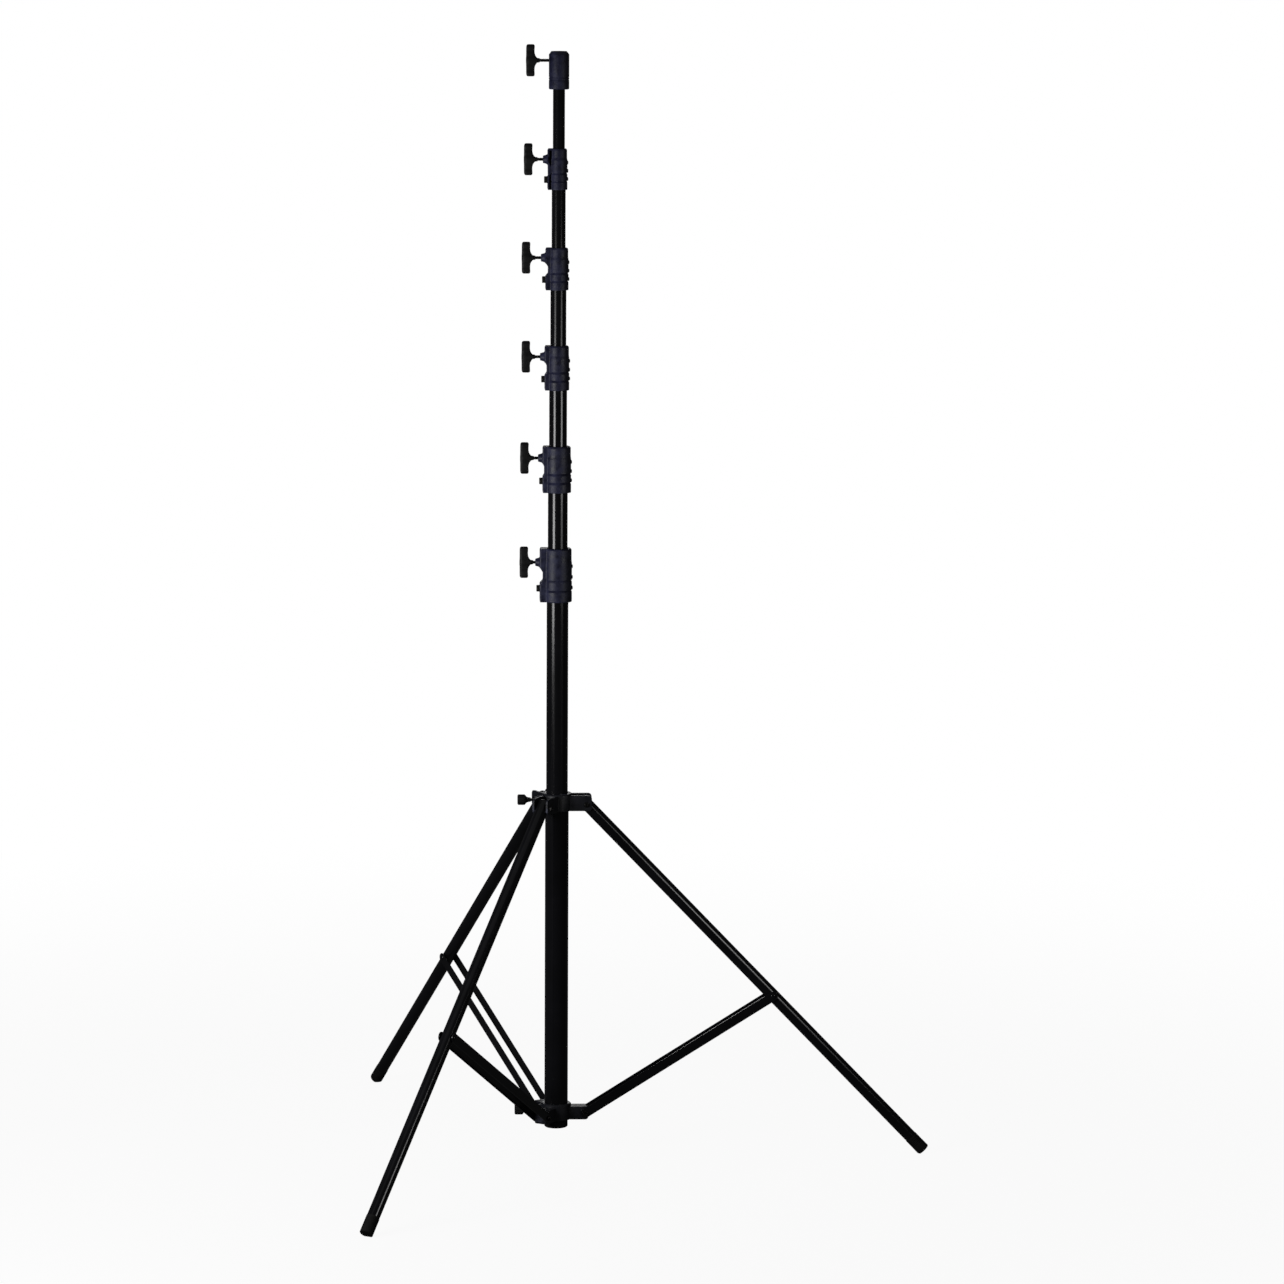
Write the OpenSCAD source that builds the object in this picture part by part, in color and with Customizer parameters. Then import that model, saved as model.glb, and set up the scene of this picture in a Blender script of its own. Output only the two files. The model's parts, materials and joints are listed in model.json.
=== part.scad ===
// Telescopic high stand with a folding tripod base.
// The column stands on +Z with the origin on the floor below it. Leg 1 points along +X,
// the other two legs stand 120 degrees apart, and every lock faces -X.
// Collar 1 sits on the base tube, and collar 2 to collar 5 on risers 1 to 4.

/* [Column] */
// Height of the base tube's lower end above the floor
column_bottom_z = 74; // [60:1:80]
// Outer diameter of the base tube
base_d = 55; // [52:0.5:56]
// How much thinner each riser is than the tube around it
tube_step = 5; // [4.8:0.1:5.2]
// Wall of the base tube and the risers
tube_wall = 1.5; // [1:0.1:1.7]
// Outer diameter of the sleeve round the lower part of the base tube
sleeve_d = 60; // [58:0.5:62]
// Length of each riser below its collar
riser_inside = 1330; // [1200:5:1335]
// Length of the nylon guide at each riser's lower end
guide_h = 150; // [60:5:150]
// Length of the end cap's spigot inside the base tube
end_cap_spigot = 24; // [10:1:30]

/* [Top collars] */
// Height of collar 1's lower face above the floor
collar_1_z = 1441; // [1435:1:1460]
// Heights of the five collars, lowest first
collar_h = [136, 117, 112, 106, 103]; // each [100:1:140]
// Wall of each collar round its tube
collar_wall = [8.8, 8.4, 5.4, 5.3, 4.2]; // each [4:0.1:10]
// How far each collar's lock housing reaches from the column axis
housing_reach = [45.5, 39, 34.5, 33, 28.5]; // each [28:0.5:46]
// Riser shown above each collar
riser_shown = [143, 143, 141, 146, 148]; // each [5:1:900]
// Depth of each lock screw below the top of its collar
lock_drop = [36, 30, 28, 25, 27]; // each [24:1:38]
// How far each T-handle reaches from the column axis
handle_reach = [97, 96, 93, 93, 88]; // each [86:1:100]
// Length of the nylon bush in each collar
bush_h = 52; // [44:1:54]
// Thickness of the lip that holds the bush in
collar_lip = 4; // [3:0.5:6]
// Depth of the two grooves round each collar
groove_depth = 1.5; // [0.5:0.1:2]

/* [Head] */
// Outer diameter of the socket head
head_d = 51; // [48:0.5:54]
// Height of the socket head
head_h = 95; // [90:1:100]
// Diameter of the socket for a 28.6 mm spigot
socket_d = 28.9; // [28.8:0.05:29.2]
// Depth of the socket
socket_h = 62; // [55:1:62]
// Depth of the head's lock screw below its top
head_lock_drop = 23; // [20:1:30]
// How far the head's T-handle reaches from the column axis
head_handle_reach = 83; // [78:1:86]

/* [Locks] */
// Diameter of every lock screw
screw_d = 8; // [7:0.5:8]
// Length of a T-handle's bar
bar_l = 80; // [70:1:88]
// Radial depth of a T-handle's bar
bar_d = 23; // [20:1:24]
// Thickness of a T-handle's bar
bar_t = 18; // [16:1:20]
// Length of the cone between a T-handle's bar and its screw
neck_l = 12; // [8:1:14]

/* [Tripod] */
// Floor radius of the feet
foot_reach = 951; // [900:1:1000]
// Radius of the hinges of the legs and the struts
hinge_r = 75; // [74:1:78]
// Height of the leg hinges
leg_hinge_z = 919; // [900:1:925]
// Height of the strut pivots
strut_pivot_z = 112; // [108:1:118]
// Place of the strut's upper pivot as a part of the leg's length
strut_share = 0.55; // [0.52:0.01:0.57]
// Outer diameter of a leg
leg_d = 32; // [28:0.5:33]
// Wall of a leg
leg_wall = 2; // [1.5:0.5:3]
// Length of leg above its hinge
leg_stub = 16; // [12:1:18]
// Length of a rubber foot on its leg
foot_h = 48; // [40:1:60]
// Height of the leg end's middle above the floor
foot_z = 8.4; // [8:0.1:9]
// Width of a strut bar
bar_w = 24; // [20:1:25]
// Thickness of a strut bar
strut_t = 3; // [2:0.5:3]
// Diameter of the hinge bolts
hinge_bolt_d = 8; // [6:1:8]
// Height of the leg collar's lower face
leg_collar_z = 903; // [900:1:904]
// Height of the leg collar
leg_collar_h = 44; // [42:1:48]
// Height of the lower spider's lower face
spider_z = 95; // [94:1:96]
// Height of the lower spider
spider_h = 42; // [40:1:44]
// Reach of the leg collar's knob from the column axis
leg_knob_reach = 101; // [98:1:104]
// Reach of the lower spider's knob from the column axis
spider_knob_reach = 107; // [104:1:110]

/* [Hidden] */
$fn = 64;
gap = 0.3;            // air between pieces that move past each other
fit_gap = 0.08;       // radial clearance of a screw or a pin that turns
slide_gap = 0.2;      // radial clearance of a riser in its bush
lip_gap = 0.6;        // radial clearance of a riser in its collar's lip
slack = 1;            // overshoot of a cutting solid
edge = 1;             // small chamfer of an edge
chamfer = 3;          // large chamfer of a casting's upper edge
last = 4;             // index of the top collar
legs = [0, 1, 2];
shell = "#23242b";
gloss = "#0b0b0d";
plastic = "#101012";
steel = "#303134";
nylon = "#d8d4c8";
rubber = "#161616";

function tube_r(i) = (base_d - i * tube_step) / 2;
function sum(list, n) = n <= 0 ? 0 : list[n - 1] + sum(list, n - 1);
function collar_z(i) = collar_1_z + sum(collar_h, i) + sum(riser_shown, i);
function collar_top(i) = collar_z(i) + collar_h[i];
function collar_r(i) = tube_r(i) + collar_wall[i];
function bush_z(i) = collar_top(i) - collar_lip - bush_h;
function lock_z(i) = collar_top(i) - lock_drop[i];
function boss_reach(i) = housing_reach[i] + boss_proud;
function riser_bottom(n) = collar_z(n) - riser_inside;
function fix_height(i) = fix_level * collar_h[i];
function rivet_height(i, k) = (rivet_level + rivet_pitch * k) * collar_h[i];

// Levels on a collar, each as a part of the collar's height
groove_levels = [0.19, 0.38];
band_levels = [0.72, 0.78];         // slope below the collar's narrower top
waist_levels = [0.34, 0.40, 0.56, 0.65];
fix_level = 0.245;
rivet_level = 0.26;
rivet_pitch = 0.2;

groove_w = 3;
housing_w = 1.2;                    // width of a lock housing as a part of its collar's radius
waist_proud = 1.5;                  // how far a housing's waist stands out of its collar
boss_proud = 11.5;                  // how far a screw boss stands out of its housing
boss_r = [12, 9];                   // radii of a collar's screw boss at the axis and at its tip
fix_r = 3;                          // shank of the bolt that fixes a collar to its tube
fix_washer = [9, 1.5];              // radius and thickness
fix_head = [8.5, 7];                // radius over the corners and thickness
rivet_r = 2;
rivet_rows = [0, 1, 2];
rivet_proud = 0.5;
rivet_cap = [5, 3, 2.4];            // lower radius, upper radius and thickness

end_cap_floor = 6;                  // thickness of the end cap below the base tube
end_cap_top = spider_z - 1;
guide_land = 15;                    // length of the thick end of a riser's guide

head_foot = 2;                      // chamfer of the head's lower edge
head_crown = [6, 8];                // width and height of the slope round the socket's mouth
head_bolt_height = 14;
head_bolt_cap = [6, 5, 3];          // lower radius, upper radius and thickness

screw_r = screw_d / 2;
screw_hole_r = screw_r + fit_gap;
screw_end = 10;                     // from a handle's outer face to the screw's end
screw_pocket = 9.5;                 // from a handle's outer face to the floor of the screw's hole
handle_corner = 4;
neck_r = [5, 9];                    // radii of a T-handle's cone at the screw and at the bar
knob_neck_r = [5.5, 7];             // radii of a round knob's neck at its tip and at its bend
knob_bend = 0.6;                    // place of that bend as a part of the neck's length
knob_rim = 2;
leg_knob = [13.5, 20, 14];          // radius, length and neck
spider_knob = [16, 22, 14];
head_z = collar_z(last + 1);
head_top = head_z + head_h;
socket_z = head_top - socket_h;
head_web = 5;
head_screw_tip = socket_d / 2 + 2;
pin_r = hinge_bolt_d / 2;
pin_hole_r = pin_r + fit_gap;
tongue_half = leg_d / 2 + 0.5;      // half width of a spider's tongue
cheek_in = leg_d / 2 + 1;           // inner face of a leg collar's cheek, from the leg's mid plane
cheek_t = 5;
bar_in = leg_d / 2 + 1.5;           // inner face of a strut bar
leg_dx = foot_reach - hinge_r;
leg_dz = leg_hinge_z - foot_z;
leg_l = sqrt(leg_dx * leg_dx + leg_dz * leg_dz);
leg_tilt = atan2(leg_dx, leg_dz);   // from the vertical
joint_r = hinge_r + strut_share * leg_dx;
joint_z = leg_hinge_z - strut_share * leg_dz;
strut_l = norm([joint_r - hinge_r, joint_z - strut_pivot_z]);
strut_tilt = atan2(joint_r - hinge_r, joint_z - strut_pivot_z);
sleeve_z = spider_z + spider_h + gap;
sleeve_top = leg_collar_z - gap;

spider_hub_r = base_d / 2 + 11;
spider_lug_reach = hinge_r + 8;
spider_lug_top = spider_h - 8;
spider_lug_corner = 8;
spider_lock_height = spider_h - 16;
spider_boss = [13, 10, 58];         // radius at the axis, radius at the tip and reach
leg_hub_r = base_d / 2 + 12;
leg_lug_reach = hinge_r + 14;
leg_lug_top = leg_collar_h - 4;
leg_lug_corner = 9;
leg_lock_height = leg_collar_h - 18;
leg_boss = [13, 9, 56];             // radius at the axis, radius at the tip and reach
washer_r = 1.75 * pin_r;
washer_t = 1;
nut_r = 1.6 * pin_r;                // over the corners
nut_t = 5;

foot_wall = 0.8;
foot_rim = 0.6;
joint_rivet = [7, 5, 2.5];          // lower radius, upper radius and thickness of the rivet's head
joint_post_r = 5;                   // part of that rivet between a bar and its leg

// ---- placing helpers ----

// Puts a child's +Z along -X, starting on the column axis at height z.
module outward(z) {
    translate([0, 0, z]) rotate([0, -90, 0]) children();
}

// Puts a child that is drawn for leg 1 on leg n.
module at_leg(n) {
    rotate([0, 0, 120 * n]) children();
}

// Puts a child's +Z along the tangent of leg 1, at radius r and height z.
module across(r, z) {
    translate([r, 0, z]) rotate([-90, 0, 0]) children();
}

module ring(outer, inner, h) {
    difference() {
        cylinder(r = outer, h = h);
        translate([0, 0, -slack]) cylinder(r = inner, h = h + 2 * slack);
    }
}

// ---- column ----

module base_tube() {
    color(gloss)
        translate([0, 0, column_bottom_z + end_cap_floor])
        ring(tube_r(0), tube_r(0) - tube_wall, bush_z(0) - column_bottom_z - end_cap_floor);
}

module base_sleeve() {
    color(gloss)
        translate([0, 0, sleeve_z])
        ring(sleeve_d / 2, tube_r(0), sleeve_top - sleeve_z);
}

// A cup round the base tube's lower end, as wide as the sleeve, with a spigot inside the tube.
module base_end_cap() {
    r = sleeve_d / 2;
    top = end_cap_top - column_bottom_z;
    color(rubber)
        translate([0, 0, column_bottom_z])
        rotate_extrude()
        polygon([
            [0, 0], [r - 2 * edge, 0], [r, 2 * edge], [r, top - edge], [r - edge, top],
            [tube_r(0), top], [tube_r(0), end_cap_floor],
            [tube_r(0) - tube_wall, end_cap_floor],
            [tube_r(0) - tube_wall, end_cap_floor + end_cap_spigot], [0, end_cap_floor + end_cap_spigot]
        ]);
}

// Riser n slides in the tube of index n - 1 and carries the collar of index n.
module riser_tube(n) {
    top = n > last ? socket_z - head_web : bush_z(n);
    bottom = riser_bottom(n);
    color(gloss)
        translate([0, 0, bottom])
        ring(tube_r(n), tube_r(n) - tube_wall, top - bottom);
}

// A nylon sleeve with a land at each end and a thinner waist.
module riser_guide(n) {
    inner = tube_r(n);
    outer = tube_r(n - 1) - tube_wall - gap;
    waist = (inner + outer) / 2;
    color(nylon)
        translate([0, 0, riser_bottom(n)])
        rotate_extrude()
        polygon([
            [inner, 0], [outer, 0], [outer, guide_land], [waist, guide_land + edge],
            [waist, guide_h - guide_land - edge], [outer, guide_h - guide_land],
            [outer, guide_h], [inner, guide_h]
        ]);
}

// ---- top collars ----

// Half outline of a collar: chamfered barrel with two grooves in its lower half.
module collar_profile(i) {
    r = collar_r(i);
    h = collar_h[i];
    low = groove_levels[0] * h;
    high = groove_levels[1] * h;
    rotate_extrude()
        polygon([
            [0, 0], [r - edge, 0], [r, edge],
            [r, low], [r - groove_depth, low + edge],
            [r - groove_depth, low + groove_w], [r, low + groove_w + edge],
            [r, high], [r - groove_depth, high + edge],
            [r - groove_depth, high + groove_w], [r, high + groove_w + edge],
            [r, band_levels[0] * h], [r - edge, band_levels[1] * h],
            [r - edge, h - chamfer], [r - edge - chamfer, h], [0, h]
        ]);
}

// Side outline of the lock housing: an upper pad, a waist and a lower pad.
module housing_outline(i) {
    h = collar_h[i];
    inset = edge / 2;
    reach = housing_reach[i];
    waist = min(collar_r(i) + waist_proud, reach - 2 * edge);
    polygon([
        [0, inset], [reach - edge, inset], [reach, inset + edge],
        [reach, waist_levels[0] * h], [waist, waist_levels[1] * h],
        [waist, waist_levels[2] * h], [reach, waist_levels[3] * h],
        [reach, h - chamfer], [reach - chamfer, h - inset], [0, h - inset]
    ]);
}

module collar_casting(i) {
    h = collar_h[i];
    width = housing_w * collar_r(i);
    lock = h - lock_drop[i];
    color(shell)
        translate([0, 0, collar_z(i)])
        difference() {
            union() {
                collar_profile(i);
                mirror([1, 0, 0])
                    translate([0, width / 2, 0])
                    rotate([90, 0, 0])
                    linear_extrude(width)
                    housing_outline(i);
                outward(lock) cylinder(r1 = boss_r[0], r2 = boss_r[1], h = boss_reach(i));
            }
            translate([0, 0, -slack]) cylinder(r = tube_r(i), h = h - collar_lip + slack);
            translate([0, 0, -slack]) cylinder(r = tube_r(i + 1) + lip_gap, h = h + 2 * slack);
            outward(lock) cylinder(r = screw_hole_r, h = boss_reach(i) + slack);
            outward(fix_height(i)) cylinder(r = fix_r, h = housing_reach[i] + slack);
            for (k = rivet_rows)
                rotate([0, 180, 0]) outward(-rivet_height(i, k)) cylinder(r = rivet_r, h = 2 * collar_r(i));
        }
}

// The bush sits on the tube's upper end, under the collar's lip.
module collar_bush(i) {
    color(nylon)
        translate([0, 0, bush_z(i)])
        ring(tube_r(i), tube_r(i + 1) + slide_gap, bush_h);
}

// One hexagon bolt fixes the collar to its tube, and three rivets hold its liner on the far side.
module collar_bolts(i) {
    color(steel)
        translate([0, 0, collar_z(i)]) {
            outward(fix_height(i)) {
                translate([0, 0, tube_r(i)]) cylinder(r = fix_r, h = housing_reach[i] - tube_r(i) + edge);
                translate([0, 0, housing_reach[i]]) cylinder(r = fix_washer[0], h = fix_washer[1]);
                translate([0, 0, housing_reach[i] + fix_washer[1]])
                    cylinder(r = fix_head[0], h = fix_head[1], $fn = 6);
            }
            for (k = rivet_rows)
                rotate([0, 180, 0]) outward(-rivet_height(i, k)) {
                    translate([0, 0, tube_r(i)]) cylinder(r = rivet_r, h = collar_wall[i] + rivet_proud);
                    translate([0, 0, collar_r(i)])
                        cylinder(r1 = rivet_cap[0], r2 = rivet_cap[1], h = rivet_cap[2]);
                }
        }
}

// ---- head ----

module head_socket() {
    color(shell)
        translate([0, 0, head_z])
        difference() {
            rotate_extrude()
                polygon([
                    [0, 0], [head_d / 2 - head_foot, 0], [head_d / 2, head_foot],
                    [head_d / 2, head_h - head_crown[1]],
                    [head_d / 2 - head_crown[0], head_h], [0, head_h]
                ]);
            translate([0, 0, -slack])
                cylinder(r = tube_r(last + 1), h = head_h - socket_h - head_web + slack);
            translate([0, 0, head_h - socket_h]) cylinder(r = socket_d / 2, h = socket_h + slack);
            outward(head_h - head_lock_drop) cylinder(r = screw_hole_r, h = head_d);
            rotate([0, 0, -90]) outward(head_bolt_height) cylinder(r = fix_r, h = head_d);
        }
}

module head_bolt() {
    color(steel)
        translate([0, 0, head_z])
        rotate([0, 0, -90])
        outward(head_bolt_height) {
            translate([0, 0, tube_r(last + 1)])
                cylinder(r = fix_r, h = head_d / 2 - tube_r(last + 1) + rivet_proud);
            translate([0, 0, head_d / 2])
                cylinder(r1 = head_bolt_cap[0], r2 = head_bolt_cap[1], h = head_bolt_cap[2]);
        }
}

// ---- locks ----

// The screw reaches from its tip into the handle, where it ends short of the blind hole's floor.
module lock_screw(z, tip, reach) {
    color(steel)
        outward(z)
        translate([0, 0, tip])
        cylinder(r = screw_r, h = reach - screw_end - tip);
}

module t_handle(z, reach) {
    color(plastic)
        outward(z)
        difference() {
            union() {
                intersection() {
                    translate([0, bar_t / 2, reach - bar_d])
                        rotate([90, 0, 0])
                        rounded_slab(bar_l, bar_d, handle_corner, bar_t);
                    translate([0, 0, reach - bar_d])
                        capsule_slab(bar_l, bar_t, bar_d);
                }
                translate([0, 0, reach - bar_d - neck_l])
                    cylinder(r1 = neck_r[0], r2 = neck_r[1], h = neck_l + slack);
            }
            cylinder(r = screw_hole_r, h = reach - screw_pocket);
        }
}

// A slab of length l along X and depth d along Y, with rounded corners, t thick.
module rounded_slab(l, d, corner, t) {
    linear_extrude(t) {
        translate([-l / 2 + corner, 0]) square([l - 2 * corner, d]);
        translate([-l / 2, corner]) square([l, d - 2 * corner]);
        for (x = [-l / 2 + corner, l / 2 - corner], y = [corner, d - corner])
            translate([x, y]) circle(corner);
    }
}

// A slab with half round ends, l long and w wide, centred, t thick.
module capsule_slab(l, w, t) {
    linear_extrude(t) {
        square([l - w, w], center = true);
        for (x = [-(l - w) / 2, (l - w) / 2]) translate([x, 0]) circle(w / 2);
    }
}

// A round knob with a chamfered rim and a tapered neck; its size is radius, length and neck.
module round_knob(z, reach, size) {
    r = size[0];
    length = size[1];
    neck = size[2];
    color(plastic)
        outward(z)
        difference() {
            translate([0, 0, reach - length - neck])
                rotate_extrude()
                polygon([
                    [0, 0], [knob_neck_r[0], 0], [knob_neck_r[1], neck * knob_bend],
                    [r - knob_rim, neck], [r, neck + knob_rim],
                    [r, neck + length - knob_rim], [r - knob_rim, neck + length], [0, neck + length]
                ]);
            cylinder(r = screw_hole_r, h = reach - screw_pocket);
        }
}

// ---- leg collar ----

// Side outline of a lug: square with rounded outer corners, from the hub to reach r1.
module lug_outline(r0, r1, z0, z1, corner) {
    translate([r0, z0]) square([r1 - corner - r0, z1 - z0]);
    translate([r0, z0 + corner]) square([r1 - r0, z1 - z0 - 2 * corner]);
    for (z = [z0 + corner, z1 - corner]) translate([r1 - corner, z]) circle(corner);
}

// A plate in the X-Z plane between y0 and y1.
module upright_plate(y0, y1) {
    translate([0, y1, 0]) rotate([90, 0, 0]) linear_extrude(y1 - y0) children();
}

module leg_collar() {
    color(shell)
        translate([0, 0, leg_collar_z])
        difference() {
            union() {
                rotate_extrude()
                    polygon([
                        [0, 0], [leg_hub_r - edge, 0], [leg_hub_r, edge],
                        [leg_hub_r, leg_collar_h - chamfer], [leg_hub_r - chamfer, leg_collar_h], [0, leg_collar_h]
                    ]);
                for (n = legs, side = [-1, 1])
                    at_leg(n)
                    upright_plate(
                        side > 0 ? cheek_in : -cheek_in - cheek_t,
                        side > 0 ? cheek_in + cheek_t : -cheek_in
                    )
                    lug_outline(base_d / 2, leg_lug_reach, 0, leg_lug_top, leg_lug_corner);
                outward(leg_lock_height) cylinder(r1 = leg_boss[0], r2 = leg_boss[1], h = leg_boss[2]);
            }
            translate([0, 0, -slack]) cylinder(r = base_d / 2 + gap, h = leg_collar_h + 2 * slack);
            outward(leg_lock_height) cylinder(r = screw_hole_r, h = leg_boss[2] + slack);
            for (n = legs)
                at_leg(n)
                across(hinge_r, leg_hinge_z - leg_collar_z)
                cylinder(r = pin_r, h = 4 * leg_d, center = true);
        }
}

// A hinge bolt with a hexagon head on one side and a nut on the other.
module hinge_bolt(half_grip) {
    translate([0, 0, -half_grip]) cylinder(r = pin_r, h = 2 * half_grip);
    for (turn = [0, 180])
        rotate([turn, 0, 0]) {
            translate([0, 0, half_grip]) cylinder(r = washer_r, h = washer_t);
            translate([0, 0, half_grip + washer_t]) cylinder(r = nut_r, h = nut_t, $fn = 6);
        }
}

module leg_collar_bolts() {
    color(steel)
        for (n = legs)
            at_leg(n) across(hinge_r, leg_hinge_z) hinge_bolt(cheek_in + cheek_t);
}

// ---- lower spider ----

module lower_spider() {
    color(shell)
        translate([0, 0, spider_z])
        difference() {
            union() {
                rotate_extrude()
                    polygon([
                        [0, 0], [spider_hub_r - edge, 0], [spider_hub_r, edge],
                        [spider_hub_r, spider_h - chamfer], [spider_hub_r - chamfer, spider_h], [0, spider_h]
                    ]);
                for (n = legs)
                    at_leg(n)
                    upright_plate(-tongue_half, tongue_half)
                    lug_outline(base_d / 2, spider_lug_reach, 0, spider_lug_top, spider_lug_corner);
                outward(spider_lock_height)
                    cylinder(r1 = spider_boss[0], r2 = spider_boss[1], h = spider_boss[2]);
            }
            translate([0, 0, -slack]) cylinder(r = base_d / 2, h = spider_h + 2 * slack);
            outward(spider_lock_height) cylinder(r = screw_hole_r, h = spider_boss[2] + slack);
            for (n = legs)
                at_leg(n)
                across(hinge_r, strut_pivot_z - spider_z)
                cylinder(r = pin_r, h = 4 * leg_d, center = true);
        }
}

module lower_spider_bolts() {
    color(steel)
        for (n = legs)
            at_leg(n) across(hinge_r, strut_pivot_z) hinge_bolt(bar_in + strut_t + gap);
}

// ---- legs and struts ----

// Draws its child with +Z down the leg's axis and the origin at the leg hinge.
module along_leg() {
    translate([hinge_r, 0, leg_hinge_z]) rotate([0, 180 - leg_tilt, 0]) children();
}

module leg_tube(n) {
    color(gloss)
        at_leg(n)
        difference() {
            along_leg()
                translate([0, 0, -leg_stub])
                ring(leg_d / 2, leg_d / 2 - leg_wall, leg_stub + leg_l - foot_h / 2);
            across(hinge_r, leg_hinge_z) cylinder(r = pin_hole_r, h = 2 * leg_d, center = true);
        }
}

// A rubber tip over the leg's end, cut flat where it stands on the floor.
module leg_foot(n) {
    outer = leg_d / 2 + foot_wall;
    color(rubber)
        at_leg(n)
        difference() {
            along_leg()
                translate([0, 0, leg_l - foot_h])
                difference() {
                    rotate_extrude()
                        polygon([
                            [0, 0], [outer - foot_rim, 0], [outer, foot_rim],
                            [outer, foot_h - edge], [outer - edge, foot_h], [0, foot_h]
                        ]);
                    translate([0, 0, -slack]) cylinder(r = leg_d / 2, h = foot_h / 2 + slack);
                }
            translate([foot_reach, 0, -foot_h]) cube(2 * foot_h, center = true);
        }
}

module strut_bar_outline() {
    translate([0, -bar_w / 2]) square([strut_l, bar_w]);
    circle(bar_w / 2);
    translate([strut_l, 0]) circle(bar_w / 2);
}

// Two flat bars that straddle the leg, each with a rivet for the upper pivot.
module strut(n) {
    color(gloss)
        at_leg(n)
        translate([hinge_r, 0, strut_pivot_z])
        rotate([0, strut_tilt - 90, 0])
        for (turn = [0, 180])
            rotate([turn, 0, 0]) {
                difference() {
                    upright_plate(bar_in, bar_in + strut_t) strut_bar_outline();
                    translate([0, bar_in + strut_t / 2, 0])
                        rotate([90, 0, 0])
                        cylinder(r = pin_hole_r, h = 2 * strut_t, center = true);
                }
                translate([strut_l, bar_in + strut_t, 0])
                    rotate([-90, 0, 0])
                    cylinder(r1 = joint_rivet[0], r2 = joint_rivet[1], h = joint_rivet[2]);
                translate([strut_l, leg_d / 2 + 2 * gap, 0])
                    rotate([-90, 0, 0])
                    cylinder(r = joint_post_r, h = strut_t);
            }
}

// ---- parts ----

base_tube();
base_sleeve();
base_end_cap();
lower_spider();
lower_spider_bolts();
collar_casting(0);  // collar_1
collar_bush(0);  // collar_1_bush
collar_bolts(0);  // collar_1_bolts
riser_tube(1);  // riser_1_tube
riser_guide(1);  // riser_1_guide
collar_casting(1);  // collar_2
collar_bush(1);  // collar_2_bush
collar_bolts(1);  // collar_2_bolts
riser_tube(2);  // riser_2_tube
riser_guide(2);  // riser_2_guide
collar_casting(2);  // collar_3
collar_bush(2);  // collar_3_bush
collar_bolts(2);  // collar_3_bolts
riser_tube(3);  // riser_3_tube
riser_guide(3);  // riser_3_guide
collar_casting(3);  // collar_4
collar_bush(3);  // collar_4_bush
collar_bolts(3);  // collar_4_bolts
riser_tube(4);  // riser_4_tube
riser_guide(4);  // riser_4_guide
collar_casting(4);  // collar_5
collar_bush(4);  // collar_5_bush
collar_bolts(4);  // collar_5_bolts
riser_tube(5);  // riser_5_tube
riser_guide(5);  // riser_5_guide
head_socket();
head_bolt();
lock_screw(lock_z(0), tube_r(0) + gap, handle_reach[0]);  // lock_1_screw
t_handle(lock_z(0), handle_reach[0]);  // lock_1_handle
lock_screw(lock_z(1), tube_r(1) + gap, handle_reach[1]);  // lock_2_screw
t_handle(lock_z(1), handle_reach[1]);  // lock_2_handle
lock_screw(lock_z(2), tube_r(2) + gap, handle_reach[2]);  // lock_3_screw
t_handle(lock_z(2), handle_reach[2]);  // lock_3_handle
lock_screw(lock_z(3), tube_r(3) + gap, handle_reach[3]);  // lock_4_screw
t_handle(lock_z(3), handle_reach[3]);  // lock_4_handle
lock_screw(lock_z(4), tube_r(4) + gap, handle_reach[4]);  // lock_5_screw
t_handle(lock_z(4), handle_reach[4]);  // lock_5_handle
lock_screw(head_top - head_lock_drop, head_screw_tip, head_handle_reach);  // head_lock_screw
t_handle(head_top - head_lock_drop, head_handle_reach);  // head_lock_handle
leg_collar();
leg_collar_bolts();
lock_screw(leg_collar_z + leg_lock_height, base_d / 2 + 2 * gap, leg_knob_reach);  // leg_lock_screw
round_knob(leg_collar_z + leg_lock_height, leg_knob_reach, leg_knob);  // leg_lock_knob
lock_screw(spider_z + spider_lock_height, base_d / 2 + gap, spider_knob_reach);  // spider_lock_screw
round_knob(spider_z + spider_lock_height, spider_knob_reach, spider_knob);  // spider_lock_knob
leg_tube(0);  // leg_1_tube
leg_foot(0);  // leg_1_foot
leg_tube(1);  // leg_2_tube
leg_foot(1);  // leg_2_foot
leg_tube(2);  // leg_3_tube
leg_foot(2);  // leg_3_foot
strut(0);  // strut_1
strut(1);  // strut_2
strut(2);  // strut_3
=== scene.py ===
import json
import math

import bmesh
import bpy
import numpy as np
from mathutils import Matrix, Vector


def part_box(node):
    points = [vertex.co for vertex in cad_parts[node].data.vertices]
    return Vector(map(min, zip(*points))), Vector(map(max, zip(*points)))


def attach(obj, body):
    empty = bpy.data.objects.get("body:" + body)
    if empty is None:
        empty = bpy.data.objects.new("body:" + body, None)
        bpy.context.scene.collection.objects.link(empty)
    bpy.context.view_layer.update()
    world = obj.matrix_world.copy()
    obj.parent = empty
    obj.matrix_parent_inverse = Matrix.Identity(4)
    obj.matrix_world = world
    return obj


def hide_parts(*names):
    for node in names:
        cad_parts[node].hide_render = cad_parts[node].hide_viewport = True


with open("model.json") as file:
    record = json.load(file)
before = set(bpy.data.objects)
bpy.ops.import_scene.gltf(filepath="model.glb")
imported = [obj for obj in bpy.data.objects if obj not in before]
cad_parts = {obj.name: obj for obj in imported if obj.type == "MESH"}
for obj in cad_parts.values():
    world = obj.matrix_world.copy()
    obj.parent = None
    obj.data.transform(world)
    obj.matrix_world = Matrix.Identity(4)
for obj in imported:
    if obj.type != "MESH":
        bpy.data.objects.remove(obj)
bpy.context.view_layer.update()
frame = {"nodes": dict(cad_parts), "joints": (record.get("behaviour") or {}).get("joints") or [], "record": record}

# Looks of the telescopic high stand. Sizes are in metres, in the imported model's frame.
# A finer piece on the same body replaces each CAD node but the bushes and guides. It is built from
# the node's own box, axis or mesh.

MM = 0.001
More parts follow.
